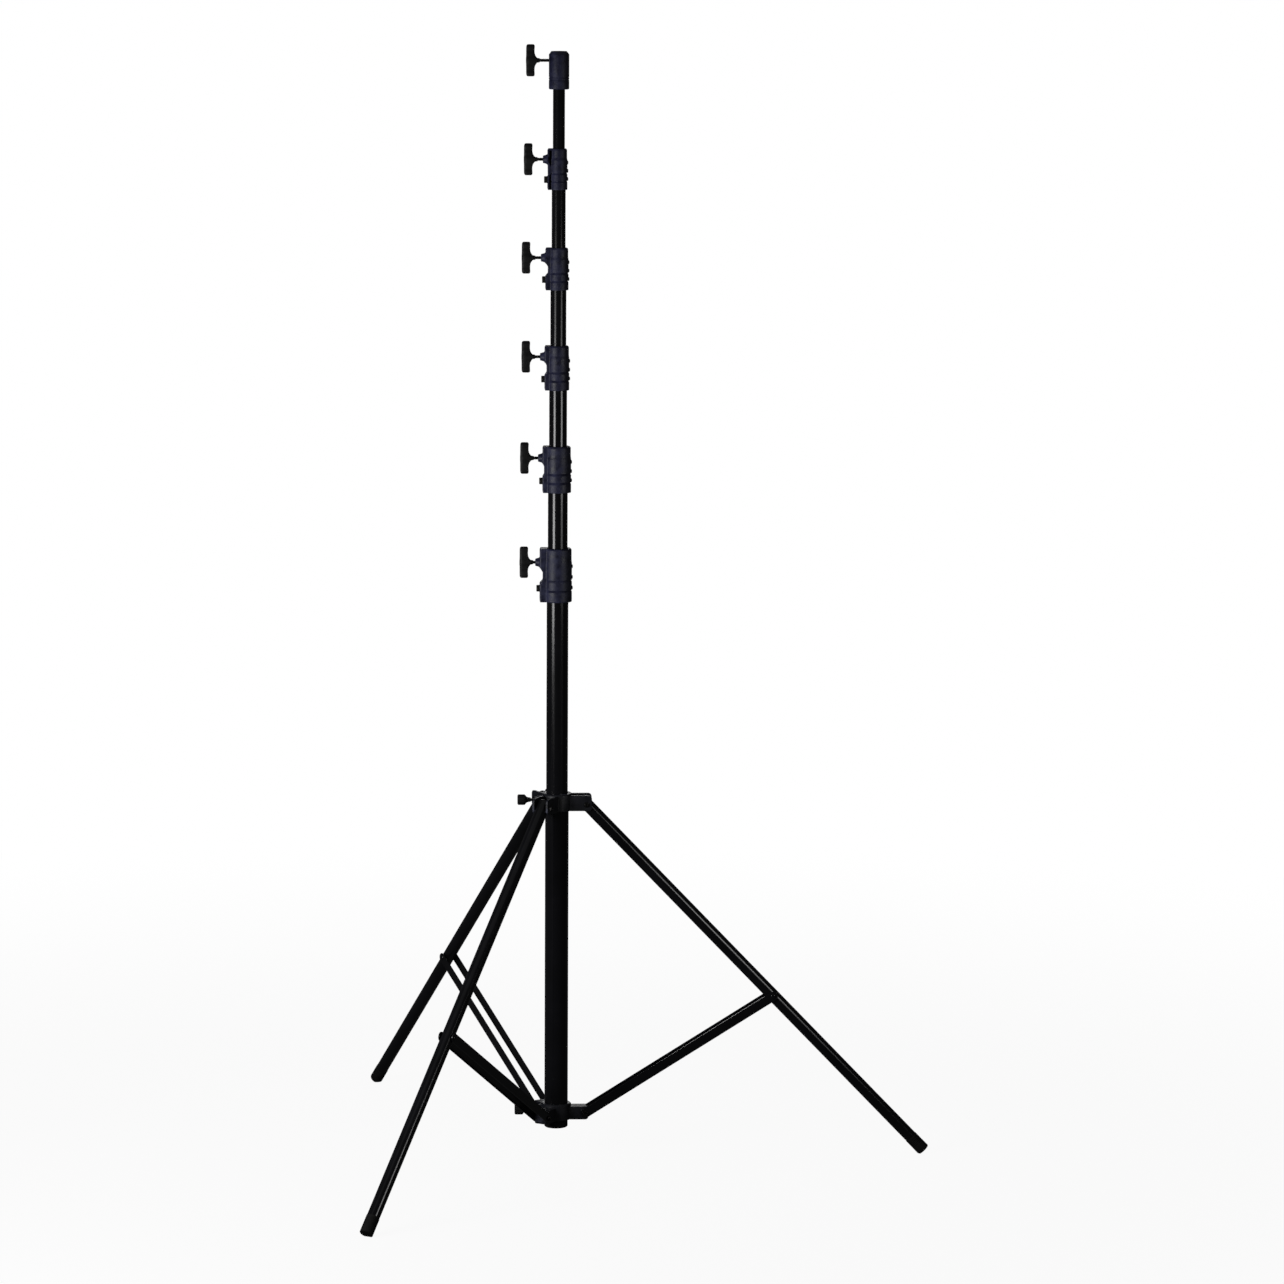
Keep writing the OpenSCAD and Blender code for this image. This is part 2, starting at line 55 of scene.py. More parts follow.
TURN = 2 * math.pi
NODES = frame["nodes"]
BODIES = frame["record"]["behaviour"]["bodies"]
JOINTS = {j["name"]: j for j in frame["joints"]}
BODY_OF = {node: body for body, members in BODIES.items() for node in members}
SLOT_OF = {part["node"]: part["material_slot"] for part in frame["record"]["subparts"]}
LEG_NUMBERS = (1, 2, 3)
COLLAR_NUMBERS = (1, 2, 3, 4, 5)
LOCK_SIDE = Vector((-1, 0, 0))

# ---------------------------------------------------------------- materials


class Graph:
    """A material's node tree, with short ways to add nodes and link them."""

    def __init__(self, name):
        self.material = bpy.data.materials.new(name)
        self.material.use_nodes = True
        self.tree = self.material.node_tree
        self.shader = self.tree.nodes["Principled BSDF"]

    def add(self, kind, **values):
        node = self.tree.nodes.new(kind)
        for key, value in values.items():
            if key in node.inputs:
                node.inputs[key].default_value = value
            else:
                setattr(node, key, value)
        return node

    def link(self, source, target):
        self.tree.links.new(source, target)

    def pattern(self, stretch, scale, detail=4.0, roughness=0.55):
        """A noise in the piece's own coordinates, stretched by a factor along each axis."""
        place = self.add("ShaderNodeTexCoord")
        mapping = self.add("ShaderNodeMapping", Scale=stretch)
        noise = self.add("ShaderNodeTexNoise", Scale=scale, Detail=detail, Roughness=roughness)
        self.link(place.outputs["Object"], mapping.inputs["Vector"])
        self.link(mapping.outputs["Vector"], noise.inputs["Vector"])
        return noise.outputs["Fac"]

    def spread(self, source, low, high, start=0.3, end=0.7):
        """Maps a pattern onto the values from low to high."""
        node = self.add("ShaderNodeMapRange")
        node.inputs["From Min"].default_value = start
        node.inputs["From Max"].default_value = end
        node.inputs["To Min"].default_value = low
        node.inputs["To Max"].default_value = high
        self.link(source, node.inputs["Value"])
        return node.outputs["Result"]

    def blend(self, factor, first, second):
        """Mixes two colours, each an RGB triple or an output, by a factor output."""
        node = self.add("ShaderNodeMix", data_type="RGBA")
        self.link(factor, node.inputs["Factor"])
        for socket, value in (("A", first), ("B", second)):
            target = [s for s in node.inputs if s.name == socket and s.type == "RGBA"][0]
            if isinstance(value, tuple):
                target.default_value = (*value, 1.0)
            else:
                self.link(value, target)
        return [s for s in node.outputs if s.type == "RGBA"][0]

    def product(self, first, second):
        node = self.add("ShaderNodeMath", operation="MULTIPLY")
        self.link(first, node.inputs[0])
        self.link(second, node.inputs[1])
        return node.outputs[0]

    def edges(self, start, end):
        """Is 1 on a piece's convex edges and 0 elsewhere."""
        geometry = self.add("ShaderNodeNewGeometry")
        return self.spread(geometry.outputs["Pointiness"], 0.0, 1.0, start, end)

    def bump(self, height, strength, distance):
        node = self.add("ShaderNodeBump", Strength=strength, Distance=distance)
        self.link(height, node.inputs["Height"])
        self.link(node.outputs["Normal"], self.shader.inputs["Normal"])


def finish_material(graph, colour, roughness, **constants):
    """Links the colour and roughness, and sets what is the same all over on the shader itself."""
    graph.link(colour, graph.shader.inputs["Base Color"])
    graph.link(roughness, graph.shader.inputs["Roughness"])
    for key, value in constants.items():
        graph.shader.inputs[key.replace("_", " ")].default_value = value
    return graph.material


def tube_paint(name, stretch):
    """Gloss black on drawn tube: fine lengthwise streaks, faint haze and small scuffs."""
    g = Graph(name)
    streaks = g.pattern(stretch, 260.0, 5.0)
    haze = g.pattern((1, 1, 1), 9.0, 3.0)
    scuffs = g.spread(g.pattern((1, 1, 1), 75.0, 6.0, 0.7), 0.0, 1.0, 0.66, 0.74)
    colour = g.blend(g.spread(haze, 0.0, 1.0), (0.0045, 0.0045, 0.0055), (0.009, 0.009, 0.0115))
    colour = g.blend(g.product(scuffs, g.spread(haze, 0.2, 0.8)), colour, (0.03, 0.03, 0.033))
    rough = g.add("ShaderNodeMath", operation="ADD")
    g.link(g.spread(streaks, 0.10, 0.20), rough.inputs[0])
    g.link(g.spread(scuffs, 0.0, 0.18, 0.0, 1.0), rough.inputs[1])
    g.bump(streaks, 0.08, 0.0004)
    return finish_material(g, colour, rough.outputs[0], Specular_IOR_Level=0.5)


def cast_paint(name, dark, light):
    """Satin hammered paint on a die casting, with edges rubbed brighter."""
    g = Graph(name)
    hammered = g.pattern((1, 1, 1), 210.0, 5.0)
    cloud = g.pattern((1, 1, 1), 55.0, 4.0)
    rubbed = g.product(g.edges(0.53, 0.62), g.spread(cloud, 0.0, 1.0, 0.42, 0.62))
    colour = g.blend(g.spread(cloud, 0.0, 1.0), dark, light)
    colour = g.blend(rubbed, colour, (0.07, 0.075, 0.12))
    g.bump(hammered, 0.55, 0.0012)
    return finish_material(g, colour, g.spread(cloud, 0.38, 0.56), Specular_IOR_Level=0.5)


def moulded_plastic():
    """Black glass-filled nylon: fine spark-eroded grain and palm-polished high spots."""
    g = Graph("moulded_plastic")
    grain = g.pattern((1, 1, 1), 1500.0, 2.0)
    cloud = g.pattern((1, 1, 1), 60.0, 4.0)
    polished = g.product(g.edges(0.51, 0.58), g.spread(cloud, 0.3, 1.0))
    colour = g.blend(g.spread(cloud, 0.0, 1.0), (0.004, 0.004, 0.0045), (0.009, 0.009, 0.0095))
    colour = g.blend(polished, colour, (0.017, 0.017, 0.018))
    g.bump(grain, 0.4, 0.0003)
    return finish_material(g, colour, g.spread(cloud, 0.46, 0.62), Specular_IOR_Level=0.4)


def blackened_steel():
    """Black oxide steel: bare metal showing on the edges, oily mottling."""
    g = Graph("blackened_steel")
    mottle = g.pattern((1, 1, 1), 240.0, 5.0)
    worn = g.product(g.edges(0.53, 0.60), g.spread(mottle, 0.2, 1.0))
    colour = g.blend(g.spread(mottle, 0.0, 1.0), (0.011, 0.011, 0.012), (0.030, 0.029, 0.028))
    colour = g.blend(worn, colour, (0.12, 0.115, 0.11))
    g.bump(mottle, 0.12, 0.0002)
    return finish_material(g, colour, g.spread(mottle, 0.26, 0.44), Metallic=0.9)


def natural_nylon():
    """Off-white turned nylon with faint tool rings and grease marks."""
    g = Graph("natural_nylon")
    rings = g.pattern((1, 1, 40), 30.0, 3.0)
    grease = g.pattern((1, 1, 1), 45.0, 4.0)
    colour = g.blend(g.spread(grease, 0.0, 1.0, 0.45, 0.7), (0.62, 0.60, 0.54), (0.40, 0.38, 0.33))
    g.bump(rings, 0.15, 0.0003)
    return finish_material(g, colour, g.spread(rings, 0.38, 0.55), Subsurface_Weight=0.05)


def tyre_rubber():
    """Black rubber with dust on its faces."""
    g = Graph("tyre_rubber")
    grain = g.pattern((1, 1, 1), 900.0, 3.0)
    dust = g.pattern((1, 1, 1), 70.0, 5.0)
    colour = g.blend(g.spread(dust, 0.0, 1.0, 0.4, 0.75), (0.004, 0.004, 0.004), (0.013, 0.0125, 0.012))
    g.bump(grain, 0.5, 0.0003)
    return finish_material(g, colour, g.spread(dust, 0.66, 0.86), Specular_IOR_Level=0.3)


MATERIALS = {
    "tube_black": tube_paint("tube_paint", (1.0, 1.0, 0.012)),
    "cast_black": cast_paint("cast_paint", (0.006, 0.0065, 0.026), (0.038, 0.041, 0.100)),
    "plastic_black": moulded_plastic(),
    "steel": blackened_steel(),
    "nylon": natural_nylon(),
    "rubber": tyre_rubber(),
}
# The casting paint again, made darker for the low hubs: painted shade for the shade they stand in below the
# lights.
HUB_PAINT_WITH_PAINTED_SHADE = cast_paint("hub_paint_with_painted_shade", (0.007, 0.0075, 0.012), (0.012, 0.013, 0.020))

# ---------------------------------------------------------------- mesh building


def place_along(origin, direction, up=Vector((0, 0, 1))):
    """A matrix that puts +Z along direction and keeps +X as near to up as it can."""
    z = Vector(direction).normalized()
    x = (up - z * up.dot(z)).normalized()
    y = z.cross(x)
    return Matrix.Translation(origin) @ Matrix((x, y, z)).transposed().to_4x4()


def lathe(bm, profile, place, segments=64, closed=True, shape=None):
    """Turns a profile of (radius, height) round +Z. A closed profile is a loop, as of a tube's wall.
    An open one starts and ends on the axis. shape(angle, radius, height) may change a radius."""
    rings = []
    for radius, height in profile:
        if radius < 1e-7:
            rings.append([bm.verts.new(place @ Vector((0, 0, height)))])
            continue
        ring = []
        for k in range(segments):
            angle = TURN * k / segments
            r = shape(angle, radius, height) if shape else radius
            ring.append(bm.verts.new(place @ Vector((r * math.cos(angle), r * math.sin(angle), height))))
        rings.append(ring)
    pairs = list(zip(rings, rings[1:])) + ([(rings[-1], rings[0])] if closed else [])
    for low, high in pairs:
        for k in range(segments):
            n = (k + 1) % segments
            corners = [low[k % len(low)], low[n % len(low)], high[n % len(high)], high[k % len(high)]]
            face = list(dict.fromkeys(corners))
            if len(face) > 2:
                bm.faces.new(face)


def rounded(points, radius, steps=3):
    """Rounds each corner of an open profile, leaving its two ends where they are."""
    out = [points[0]]
    for before, corner, after in zip(points, points[1:], points[2:]):
        a, c, b = Vector(before), Vector(corner), Vector(after)
        cut = min(radius, (a - c).length / 2.2, (b - c).length / 2.2)
        start = c + (a - c).normalized() * cut
        end = c + (b - c).normalized() * cut
        for k in range(steps + 1):
            t = k / steps
            p = start.lerp(c, t).lerp(c.lerp(end, t), t)
            out.append((p.x, p.y))
    return out + [points[-1]]


def prism(bm, outline, depth, place):
    """Extrudes a closed outline of (x, y) along +Z by depth."""
    low = [bm.verts.new(place @ Vector((x, y, 0))) for x, y in outline]
    high = [bm.verts.new(place @ Vector((x, y, depth))) for x, y in outline]
    bm.faces.new(list(reversed(low)))
    bm.faces.new(high)
    for k in range(len(outline)):
        n = (k + 1) % len(outline)
        bm.faces.new((low[k], low[n], high[n], high[k]))


def circle_points(radius, count):
    turns = [TURN * k / count for k in range(count)]
    return [(radius * math.cos(turn), radius * math.sin(turn)) for turn in turns]


def add_piece(bm, name, nodes, bevel=0.0, segments=2, crease=35.0, paint=None):
    """Makes a piece of a bmesh. It stands for the CAD nodes and rides on the first one's body.
    It wears its slot's material, or the paint given."""
    bmesh.ops.recalc_face_normals(bm, faces=bm.faces)
    mesh = bpy.data.meshes.new(name)
    bm.to_mesh(mesh)
    bm.free()
    for polygon in mesh.polygons:
        polygon.use_smooth = True
    mesh.set_sharp_from_angle(angle=math.radians(crease))
    piece = bpy.data.objects.new(name, mesh)
    bpy.context.scene.collection.objects.link(piece)
    if bevel:
        modifier = piece.modifiers.new("edges", "BEVEL")
        modifier.width = bevel
        modifier.segments = segments
        modifier.limit_method = "ANGLE"
        modifier.angle_limit = math.radians(crease)
        modifier.harden_normals = True
    slot = SLOT_OF[nodes[0]]
    mesh.materials.append(paint or MATERIALS[slot])
    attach(piece, BODY_OF[nodes[0]])
    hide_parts(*nodes)


def size_of(node):
    low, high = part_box(node)
    return high - low


def middle_of(node):
    low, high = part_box(node)
    return (low + high) / 2


def ends_of(node):
    """The middles of the two ends of a straight piece, the higher end first."""
    points = np.array([v.co for v in NODES[node].data.vertices])
    centre = points.mean(0)
    axis = np.linalg.svd(points - centre, full_matrices=False)[2][0]
    axis = axis * (1 if axis[2] > 0 else -1)
    along = (points - centre) @ axis
    near = 0.5 * MM
    high = points[along > along.max() - near].mean(0)
    low = points[along < along.min() + near].mean(0)
    return Vector(high), Vector(low)


# ---------------------------------------------------------------- stage and camera

FOCAL_IN_WIDTHS = 4.0864486
SENSOR = 36.0
CAMERA_PLACE = Vector((-0.254, -13.202, 3.307))
CAMERA_PITCH = math.radians(8.485)
CAMERA_YAW = math.radians(2.036)
CAMERA_ROLL = math.radians(0.305)


def make_camera():
    data = bpy.data.cameras.new("camera")
    data.sensor_width = SENSOR
    data.lens = FOCAL_IN_WIDTHS * SENSOR
    data.clip_end = 200
    camera = bpy.data.objects.new("camera", data)
    bpy.context.scene.collection.objects.link(camera)
    aim = Vector((
        math.sin(CAMERA_YAW) * math.cos(CAMERA_PITCH),
        math.cos(CAMERA_YAW) * math.cos(CAMERA_PITCH),
        -math.sin(CAMERA_PITCH),
    ))
    turn = aim.to_track_quat("-Z", "Y").to_matrix().to_4x4()
    roll = Matrix.Rotation(CAMERA_ROLL, 4, "Z")
    camera.matrix_world = Matrix.Translation(CAMERA_PLACE) @ turn @ roll
    bpy.context.scene.camera = camera


def area_light(name, place, target, width, height, power):
    data = bpy.data.lights.new(name, "AREA")
    data.shape = "RECTANGLE"
    data.size = width
    data.size_y = height
    data.energy = power
    lamp = bpy.data.objects.new(name, data)
    bpy.context.scene.collection.objects.link(lamp)
    place = Vector(place)
    lamp.location = place
    lamp.rotation_euler = (Vector(target) - place).to_track_quat("-Z", "Y").to_euler()
    lamp.visible_camera = False
    return lamp


FELT_LIGHT = 0.03  # strength of the surroundings for all but the camera


def make_world():
    """White where the camera looks past the floor, and a dim even grey for everything else."""
    world = bpy.data.worlds.new("studio")
    bpy.context.scene.world = world
    world.use_nodes = True
    tree = world.node_tree
    tree.nodes.clear()
    seen = tree.nodes.new("ShaderNodeBackground")
    seen.inputs["Color"].default_value = (1, 1, 1, 1)
    seen.inputs["Strength"].default_value = 1.0
    felt = tree.nodes.new("ShaderNodeBackground")
    felt.inputs["Color"].default_value = (1, 1, 1, 1)
    felt.inputs["Strength"].default_value = FELT_LIGHT
    path = tree.nodes.new("ShaderNodeLightPath")
    mix = tree.nodes.new("ShaderNodeMixShader")
    out = tree.nodes.new("ShaderNodeOutputWorld")
    tree.links.new(path.outputs["Is Camera Ray"], mix.inputs["Fac"])
    tree.links.new(felt.outputs[0], mix.inputs[1])
    tree.links.new(seen.outputs[0], mix.inputs[2])
    tree.links.new(mix.outputs[0], out.inputs["Surface"])


FLOOR_RADIUS = 60.0
FADE_START = 1.2  # distance from the column, in metres
FADE_END = 4.5
WHITE_SHARE_AT_STAND = 0.94
FLOOR_ALBEDO = 0.9


def make_floor():
    """A pale floor that fades into the white surroundings away from the stand."""
    bm = bmesh.new()
    ring = [bm.verts.new((x, y, 0)) for x, y in circle_points(FLOOR_RADIUS, 96)]
    bm.faces.new(ring)
    mesh = bpy.data.meshes.new("floor")
    bm.to_mesh(mesh)
    bm.free()
    floor = bpy.data.objects.new("floor", mesh)
    bpy.context.scene.collection.objects.link(floor)
    material = bpy.data.materials.new("pale_floor")
    material.use_nodes = True
    tree = material.node_tree
    tree.nodes.clear()
    place = tree.nodes.new("ShaderNodeTexCoord")
    length = tree.nodes.new("ShaderNodeVectorMath")
    length.operation = "LENGTH"
    fade = tree.nodes.new("ShaderNodeMapRange")
    fade.interpolation_type = "SMOOTHSTEP"
    fade.inputs["From Min"].default_value = FADE_START
    fade.inputs["From Max"].default_value = FADE_END
    fade.inputs["To Min"].default_value = WHITE_SHARE_AT_STAND
    lit = tree.nodes.new("ShaderNodeBsdfDiffuse")
    lit.inputs["Color"].default_value = (FLOOR_ALBEDO, FLOOR_ALBEDO, FLOOR_ALBEDO, 1)
    white = tree.nodes.new("ShaderNodeEmission")
    white.inputs["Color"].default_value = (1, 1, 1, 1)
    white.inputs["Strength"].default_value = 1.0
    mix = tree.nodes.new("ShaderNodeMixShader")
    out = tree.nodes.new("ShaderNodeOutputMaterial")
    tree.links.new(place.outputs["Object"], length.inputs[0])
    tree.links.new(length.outputs["Value"], fade.inputs["Value"])
    tree.links.new(fade.outputs["Result"], mix.inputs["Fac"])
    tree.links.new(lit.outputs[0], mix.inputs[1])
    tree.links.new(white.outputs[0], mix.inputs[2])
    tree.links.new(mix.outputs[0], out.inputs["Surface"])
    mesh.materials.append(material)
    floor.visible_glossy = False
    floor.visible_diffuse = False


STRIP_X = 2.2  # the strip lights stand this far to each side of the column
STRIP_Y = -2.05


def strip_light(name, side, height, width, length, power):
    """A light in front and to one side, aimed level at the column. It draws a stripe on the tubes."""
    return area_light(name, (side * STRIP_X, STRIP_Y, height), (0, 0, height), width, length, power)


def make_stage():
    """The lights give the tubes a bright stripe on the left and a faint one on the right."""
    make_camera()
    make_world()
    make_floor()
    strip_light("left_strip", -1, 1.33, 1.25, 0.80, 29)
    strip_light("left_upper", -1, 1.92, 1.25, 0.36, 2.9)
    for right in (
        strip_light("right_strip", 1, 1.55, 1.0, 0.34, 6),
        strip_light("right_lower", 1, 1.22, 1.0, 0.32, 1.6),
        strip_light("right_upper", 1, 1.91, 1.0, 0.38, 2.0),
    ):
        right.visible_diffuse = False
    area_light("back_softbox", (0, 3.2, 1.5), (0, 0, 1.3), 0.9, 1.6, 10)
    area_light("overhead", (0, 0, 5.5), (0, 0, 0), 6.0, 6.0, 11)
    fill = area_light("left_fill", (-4.2, -2.4, 2.4), (0, 0, 1.9), 1.2, 1.2, 30)
    fill.visible_glossy = False
    bpy.context.scene.view_settings.view_transform = "Standard"


make_stage()

# ---------------------------------------------------------------- tubes

TUBE_WALL = 1.5 * MM
LEG_WALL = 2.0 * MM
EDGE = 0.4 * MM


def tube_profile(outer, inner, low, high):
    """The wall of a tube as a closed loop with eased edges."""
    e = min(EDGE, (outer - inner) / 3)
    return [
        (outer, low + e), (outer, high - e), (outer - e, high), (inner + e, high),
        (inner, high - e), (inner, low + e), (inner + e, low), (outer - e, low),
    ]


def upright_tube(node, wall):
    low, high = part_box(node)
    outer = size_of(node).x / 2
    bm = bmesh.new()
    lathe(bm, tube_profile(outer, outer - wall, low.z, high.z), Matrix.Identity(4), 96)
    add_piece(bm, node + "_skin", [node])


upright_tube("base_tube", TUBE_WALL)
upright_tube("base_sleeve", (size_of("base_sleeve").x - size_of("base_tube").x) / 2)
for number in COLLAR_NUMBERS:
    upright_tube(f"riser_{number}_tube", TUBE_WALL)

END_CAP_CUP = 20 * MM  # height of the cup outside the tube
END_CAP_FLOOR = 6 * MM
GRIP_DEPTH = 0.8 * MM


def make_end_cap():
    """A rubber cup round the base tube's lower end, with two grip grooves and a spigot in the tube."""
    node = "base_end_cap"
    low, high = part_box(node)
    outer = high.x
    tube = size_of("base_tube").x / 2
    inner = tube - TUBE_WALL
    height = high.z - low.z

    def groove(z):
        floor = outer - GRIP_DEPTH
        return [(outer, z), (floor, z + 0.5 * MM), (floor, z + 1.5 * MM), (outer, z + 2 * MM)]

    profile = rounded([
        (0, 0.8 * MM), (outer - 7 * MM, 0.8 * MM), (outer - 5.5 * MM, 0),
        (outer - 2 * MM, 0), (outer, 2 * MM),
        *groove(8 * MM), *groove(12.5 * MM),
        (outer, END_CAP_CUP - MM), (outer - MM, END_CAP_CUP), (tube, END_CAP_CUP), (tube, END_CAP_FLOOR),
        (inner, END_CAP_FLOOR), (inner, height), (0, height),
    ], 0.5 * MM)
    bm = bmesh.new()
    lathe(bm, profile, Matrix.Translation((0, 0, low.z)), 96, closed=False)
    add_piece(bm, "base_end_cup", [node])


make_end_cap()

# ---------------------------------------------------------------- fasteners


def hexagon(radius):
    """A shape for lathe that turns a round head into a hexagon whose corners reach the radius."""
    flat = radius * math.cos(TURN / 12)

    def shape(angle, r, height):
        across = flat / math.cos((angle % (TURN / 6)) - TURN / 12)
        return min(r, across)

    return shape


def hex_head(bm, place, base, radius, height):
    """A hexagon head with a chamfered crown and a faint dish on top."""
    crown = 0.18 * radius
    dish = 0.25 * MM
    profile = [
        (0, base), (radius, base), (radius, base + height - crown * 0.6),
        (radius - crown, base + height), (radius * 0.55, base + height),
        (radius * 0.5, base + height - dish), (0, base + height - dish),
    ]
    lathe(bm, profile, place, 72, closed=False, shape=hexagon(radius))


def washer(bm, place, base, radius, thickness):
    e = 0.3 * thickness
    profile = [(0, base), (radius, base), (radius, base + thickness - e),
               (radius - e, base + thickness), (0, base + thickness)]
    lathe(bm, profile, place, 48, closed=False)


def lock_nut(bm, place, base, radius, height):
    """A nut with a rounded insert collar and the bolt's chamfered end standing in it."""
    hex_part = 0.66 * height
    hex_head(bm, place, base, radius, hex_part)
    neck = 0.72 * radius
    profile = rounded([(neck, base + 0.5 * hex_part), (neck, base + height),
                       (0.52 * radius, base + height), (0.52 * radius, base + 0.8 * height)], 0.8 * MM)
    lathe(bm, [(0, base + 0.5 * hex_part)] + profile + [(0, base + 0.8 * height)], place, 48, closed=False)
    end = 0.46 * radius
    tip = base + height - 0.1 * MM
    lathe(bm, [(0, base), (end, base), (end, tip - 0.6 * MM), (end - 0.6 * MM, tip), (0, tip)],
          place, 32, closed=False)


def rivet_head(bm, place, base, radius, height, rise=0.55):
    """A domed head on a thin flange."""
    flange = 0.25 * height
    points = [(0, base), (radius, base), (radius, base + flange)]
    steps = 8
    for k in range(1, steps + 1):
        t = k / steps * TURN / 4
        lift = (height - flange) * math.sin(t) ** rise
        points.append((radius * 0.94 * math.cos(t), base + flange + lift))
    points[-1] = (0, base + height)
    lathe(bm, points, place, 40, closed=False)


THREAD_PITCH = 1.25 * MM
THREAD_DEPTH = 0.6 * MM


def threaded_rod(bm, place, radius, start, end):
    """A rod whose surface follows the real helix of its thread."""
    steps_in_pitch = 8
    count = int((end - start) / THREAD_PITCH * steps_in_pitch)
    taper = 1.2 * MM

    def shape(angle, r, height):
        phase = (height / THREAD_PITCH - angle / TURN) % 1
        tooth = abs(2 * phase - 1)
        groove = THREAD_DEPTH * min(1.0, max(0.0, 1.25 * tooth - 0.12))
        tip = max(0.0, (start + taper - height), (height - end + taper))
        return r - max(groove, 0.9 * tip)

    side = [(radius, start + (end - start) * k / count) for k in range(count + 1)]
    lathe(bm, [(0, start), *side, (0, end)], place, 28, closed=False, shape=shape)


def outward(z):
    """Puts +Z along the locks' side at a height above the floor, with the column's up as +X."""
    return place_along(Vector((0, 0, z)), LOCK_SIDE)


# ---------------------------------------------------------------- top collars

BOSS_PAST_PAD = 11.5 * MM
PAD_HALF_WIDTH = 0.6
GROOVE_DEPTH = 1.5 * MM
LIP = 4 * MM
LIP_GAP = 0.6 * MM
SCREW_HOLE = 4.08 * MM
GROOVE_LEVELS = (0.19, 0.38)  # these levels are shares of a collar's height
BAND_LEVELS = (0.72, 0.78)
WAIST_LEVELS = (0.34, 0.40, 0.56, 0.65)
FIX_BOLT_LEVEL = 0.245
RIVET_LEVELS = (0.26, 0.46, 0.66)
FIX_HEAD_RADIUS = 8.5 * MM
FIX_WASHER_RADIUS = 9 * MM
RIVET_RADIUS = 4.9 * MM
COLLAR_SEGMENTS = 192


def smooth_max(a, b, width):
    """The larger of two values, with the corner where they cross filled in."""
    h = max(width - abs(a - b), 0.0) / width
    return max(a, b) + h * h * width / 4


def smooth_min(a, b, width):
    return -smooth_max(-a, -b, width)


def softened(heights, points, width):
    """Samples a profile given as (height, value) points, with its corners softened over a width."""
    known = np.array(points)
    step = heights[1] - heights[0]
    reach = max(1, int(round(width / step / 2)))
    padded = np.concatenate([
        heights[0] - step * np.arange(reach, 0, -1), heights, heights[-1] + step * np.arange(1, reach + 1)
    ])
    values = np.interp(padded, known[:, 0], known[:, 1])
    return np.convolve(values, np.ones(2 * reach + 1) / (2 * reach + 1), "valid")


def tube_under(number):
    return "base_tube" if number == 1 else f"riser_{number - 1}_tube"


def lock_height(number):
    return middle_of(f"lock_{number}_screw").z


def make_collar(number):
    """A die casting: a grooved barrel whose lock side swells into two pads with a waist between,
    and a conical boss for the lock screw."""
    node = f"collar_{number}"
    low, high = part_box(node)
    height = high.z - low.z
    barrel = high.x
    pad = -low.x - BOSS_PAST_PAD
    half_width = PAD_HALF_WIDTH * barrel
    waist = min(barrel + 1.5 * MM, pad - 2 * MM)
    tube = size_of(tube_under(number)).x / 2
    riser = size_of(f"riser_{number}_tube").x / 2

    def groove(share):
        start = share * height
        return [(start, barrel), (start + MM, barrel - GROOVE_DEPTH),
                (start + 3 * MM, barrel - GROOVE_DEPTH), (start + 4 * MM, barrel)]

    heights = np.linspace(0, height, int(height / MM) + 1)
    barrel_radii = softened(heights, [
        (0, barrel - 0.8 * MM), (MM, barrel), *groove(GROOVE_LEVELS[0]), *groove(GROOVE_LEVELS[1]),
        (BAND_LEVELS[0] * height, barrel), (BAND_LEVELS[1] * height, barrel - MM),
        (height - 3 * MM, barrel - MM), (height, barrel - 3.6 * MM),
    ], 1.5 * MM)
    pad_reaches = softened(heights, [
        (0, pad - 2.2 * MM), (1.6 * MM, pad),
        (WAIST_LEVELS[0] * height, pad), (WAIST_LEVELS[1] * height, waist),
        (WAIST_LEVELS[2] * height, waist), (WAIST_LEVELS[3] * height, pad),
        (height - 3 * MM, pad), (height, pad - 3 * MM),
    ], 5 * MM)

    def shape(angle, radius, z):
        if radius < barrel - 5 * MM:
            return radius
        turn = abs((angle + TURN / 2) % TURN - TURN / 2)
        if turn > TURN / 4 * 0.92:
            return radius
        reach = float(np.interp(z, heights, pad_reaches))
        front = reach / max(math.cos(turn), 0.05)
        side = half_width / max(math.sin(turn), 0.05)
        swell = smooth_min(front, side, 3.0 * MM)
        return smooth_max(radius, swell, 1.2 * MM)

    outside = list(zip(barrel_radii, heights))
    bore = tube + 0.05 * MM
    lip = riser + LIP_GAP
    inside = [(lip + 0.6 * MM, height), (lip, height - 0.6 * MM), (lip, height - LIP),
              (bore, height - LIP - 0.1 * MM), (bore, 0.6 * MM), (bore + 0.6 * MM, 0)]
    bm = bmesh.new()
    base = place_along(Vector((0, 0, low.z)), Vector((0, 0, 1)), LOCK_SIDE)
    lathe(bm, outside + inside, base, COLLAR_SEGMENTS, shape=shape)

    boss_end = pad + BOSS_PAST_PAD
    flare = [(16.5 * MM, pad - 1.0 * MM), (13.2 * MM, pad + 0.6 * MM), (11.4 * MM, pad + 3 * MM),
             (9.4 * MM, boss_end - 1.2 * MM), (8.2 * MM, boss_end), (6.2 * MM, boss_end),
             (5.6 * MM, boss_end - 1.2 * MM), (SCREW_HOLE, boss_end - 1.6 * MM), (SCREW_HOLE, pad - 2 * MM),
             (10 * MM, pad - 2 * MM)]
    lathe(bm, flare, outward(lock_height(number)), 56)
    add_piece(bm, node + "_casting", [node], crease=38)
    return barrel, pad, low.z, height


def make_collar_bolts(number, barrel, pad, bottom, height):
    node = f"collar_{number}_bolts"
    bm = bmesh.new()
    side = outward(bottom + FIX_BOLT_LEVEL * height)
    washer(bm, side, pad - 0.2 * MM, FIX_WASHER_RADIUS, 1.7 * MM)
    hex_head(bm, side, pad + 1.5 * MM, FIX_HEAD_RADIUS, 6.9 * MM)
    for share in RIVET_LEVELS:
        back = place_along(Vector((0, 0, bottom + share * height)), -LOCK_SIDE)
        rivet_head(bm, back, barrel - 0.6 * MM, RIVET_RADIUS, 2.9 * MM)
    add_piece(bm, node + "_set", [node])


# ---------------------------------------------------------------- handles and knobs

